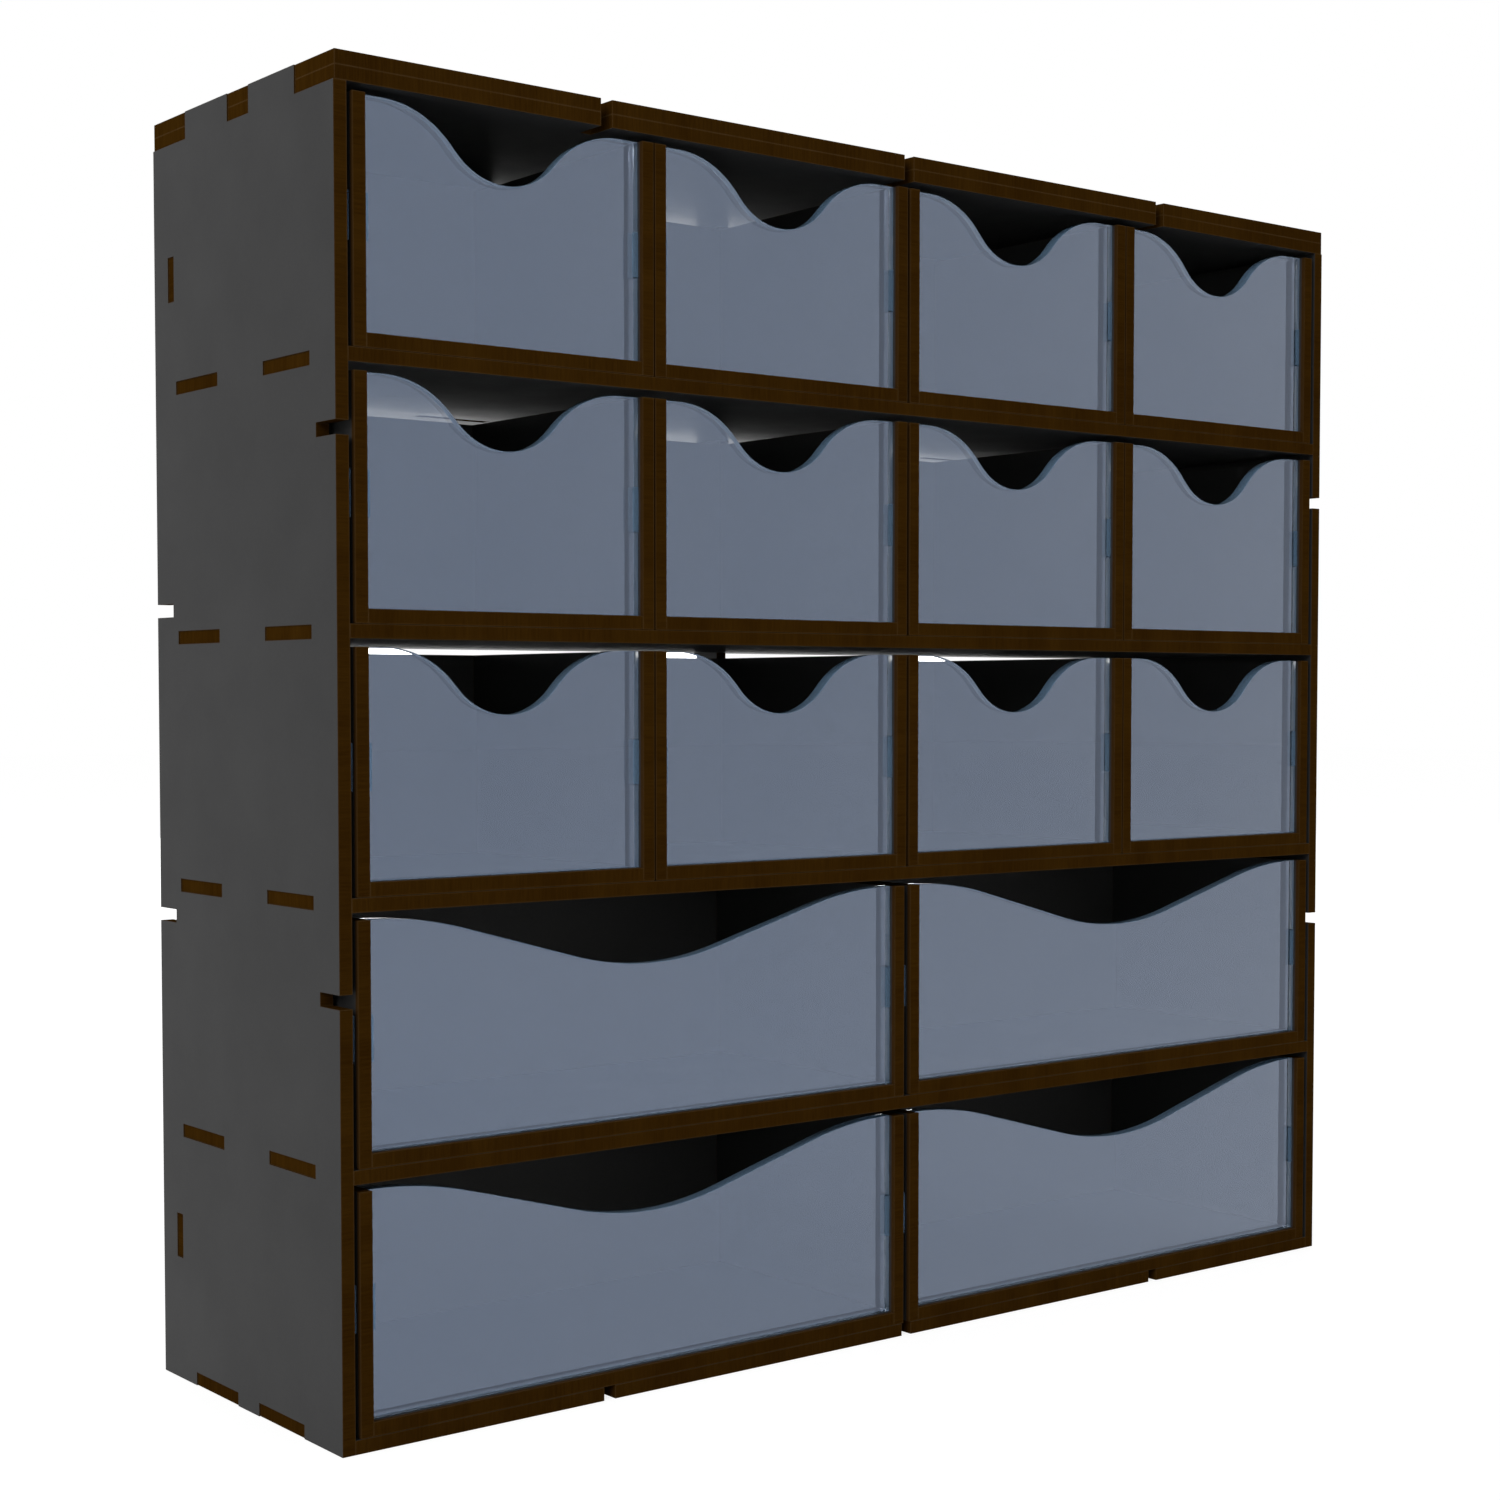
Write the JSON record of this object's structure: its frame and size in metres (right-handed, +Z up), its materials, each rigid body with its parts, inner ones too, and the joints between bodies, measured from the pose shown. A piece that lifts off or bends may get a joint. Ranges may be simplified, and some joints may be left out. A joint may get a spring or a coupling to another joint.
{
  "type": "multi-drawer cabinet",
  "caption": "Small desktop parts cabinet of slotted board with rows of loose sliding drawers that have clear fronts with a wave-cut finger dip.",
  "frame": {"origin": "middle of the underside", "axes": "+Z up, -Y out of the drawer fronts, +X to the right seen from the front"},
  "size_m": [0.311, 0.084, 0.286],
  "materials": {
    "board": "dark grey faced board with scorched brown cut edges",
    "acrylic": "smoky blue-grey clear sheet, polished"
  },
  "bodies": {
    "cabinet": {"side_left": "board", "side_right": "board", "top_outer": "board", "top_inner": "board", "bottom": "board", "shelf_1": "board", "shelf_2": "board", "shelf_3": "board", "shelf_4": "board", "back_panels_top": "board", "back_panels_bottom": "board", "rear_rib": "board"},
    "drawer_r1c1": {"drawer_r1c1_front": "acrylic", "drawer_r1c1_walls": "board", "drawer_r1c1_floor": "board"},
    "drawer_r1c2": {"drawer_r1c2_front": "acrylic", "drawer_r1c2_walls": "board", "drawer_r1c2_floor": "board"},
    "drawer_r1c3": {"drawer_r1c3_front": "acrylic", "drawer_r1c3_walls": "board", "drawer_r1c3_floor": "board"},
    "drawer_r1c4": {"drawer_r1c4_front": "acrylic", "drawer_r1c4_walls": "board", "drawer_r1c4_floor": "board"},
    "drawer_r2c1": {"drawer_r2c1_front": "acrylic", "drawer_r2c1_walls": "board", "drawer_r2c1_floor": "board"},
    "drawer_r2c2": {"drawer_r2c2_front": "acrylic", "drawer_r2c2_walls": "board", "drawer_r2c2_floor": "board"},
    "drawer_r2c3": {"drawer_r2c3_front": "acrylic", "drawer_r2c3_walls": "board", "drawer_r2c3_floor": "board"},
    "drawer_r2c4": {"drawer_r2c4_front": "acrylic", "drawer_r2c4_walls": "board", "drawer_r2c4_floor": "board"},
    "drawer_r3c1": {"drawer_r3c1_front": "acrylic", "drawer_r3c1_walls": "board", "drawer_r3c1_floor": "board"},
    "drawer_r3c2": {"drawer_r3c2_front": "acrylic", "drawer_r3c2_walls": "board", "drawer_r3c2_floor": "board"},
    "drawer_r3c3": {"drawer_r3c3_front": "acrylic", "drawer_r3c3_walls": "board", "drawer_r3c3_floor": "board"},
    "drawer_r3c4": {"drawer_r3c4_front": "acrylic", "drawer_r3c4_walls": "board", "drawer_r3c4_floor": "board"},
    "drawer_r4c1": {"drawer_r4c1_front": "acrylic", "drawer_r4c1_walls": "board", "drawer_r4c1_floor": "board"},
    "drawer_r4c2": {"drawer_r4c2_front": "acrylic", "drawer_r4c2_walls": "board", "drawer_r4c2_floor": "board"},
    "drawer_r5c1": {"drawer_r5c1_front": "acrylic", "drawer_r5c1_walls": "board", "drawer_r5c1_floor": "board"},
    "drawer_r5c2": {"drawer_r5c2_front": "acrylic", "drawer_r5c2_walls": "board", "drawer_r5c2_floor": "board"}
  },
  "joints": [
    {"name": "drawer_r1c1_slide", "type": "slide", "parent": "cabinet", "child": "drawer_r1c1", "axis": [0, -1, 0], "range_m": [0, 0.06]},
    {"name": "drawer_r1c2_slide", "type": "slide", "parent": "cabinet", "child": "drawer_r1c2", "axis": [0, -1, 0], "range_m": [0, 0.06]},
    {"name": "drawer_r1c3_slide", "type": "slide", "parent": "cabinet", "child": "drawer_r1c3", "axis": [0, -1, 0], "range_m": [0, 0.06]},
    {"name": "drawer_r1c4_slide", "type": "slide", "parent": "cabinet", "child": "drawer_r1c4", "axis": [0, -1, 0], "range_m": [0, 0.06]},
    {"name": "drawer_r2c1_slide", "type": "slide", "parent": "cabinet", "child": "drawer_r2c1", "axis": [0, -1, 0], "range_m": [0, 0.06]},
    {"name": "drawer_r2c2_slide", "type": "slide", "parent": "cabinet", "child": "drawer_r2c2", "axis": [0, -1, 0], "range_m": [0, 0.06]},
    {"name": "drawer_r2c3_slide", "type": "slide", "parent": "cabinet", "child": "drawer_r2c3", "axis": [0, -1, 0], "range_m": [0, 0.06]},
    {"name": "drawer_r2c4_slide", "type": "slide", "parent": "cabinet", "child": "drawer_r2c4", "axis": [0, -1, 0], "range_m": [0, 0.06]},
    {"name": "drawer_r3c1_slide", "type": "slide", "parent": "cabinet", "child": "drawer_r3c1", "axis": [0, -1, 0], "range_m": [0, 0.06]},
    {"name": "drawer_r3c2_slide", "type": "slide", "parent": "cabinet", "child": "drawer_r3c2", "axis": [0, -1, 0], "range_m": [0, 0.06]},
    {"name": "drawer_r3c3_slide", "type": "slide", "parent": "cabinet", "child": "drawer_r3c3", "axis": [0, -1, 0], "range_m": [0, 0.06]},
    {"name": "drawer_r3c4_slide", "type": "slide", "parent": "cabinet", "child": "drawer_r3c4", "axis": [0, -1, 0], "range_m": [0, 0.06]},
    {"name": "drawer_r4c1_slide", "type": "slide", "parent": "cabinet", "child": "drawer_r4c1", "axis": [0, -1, 0], "range_m": [0, 0.06]},
    {"name": "drawer_r4c2_slide", "type": "slide", "parent": "cabinet", "child": "drawer_r4c2", "axis": [0, -1, 0], "range_m": [0, 0.06]},
    {"name": "drawer_r5c1_slide", "type": "slide", "parent": "cabinet", "child": "drawer_r5c1", "axis": [0, -1, 0], "range_m": [0, 0.06]},
    {"name": "drawer_r5c2_slide", "type": "slide", "parent": "cabinet", "child": "drawer_r5c2", "axis": [0, -1, 0], "range_m": [0, 0.06]}
  ]
}
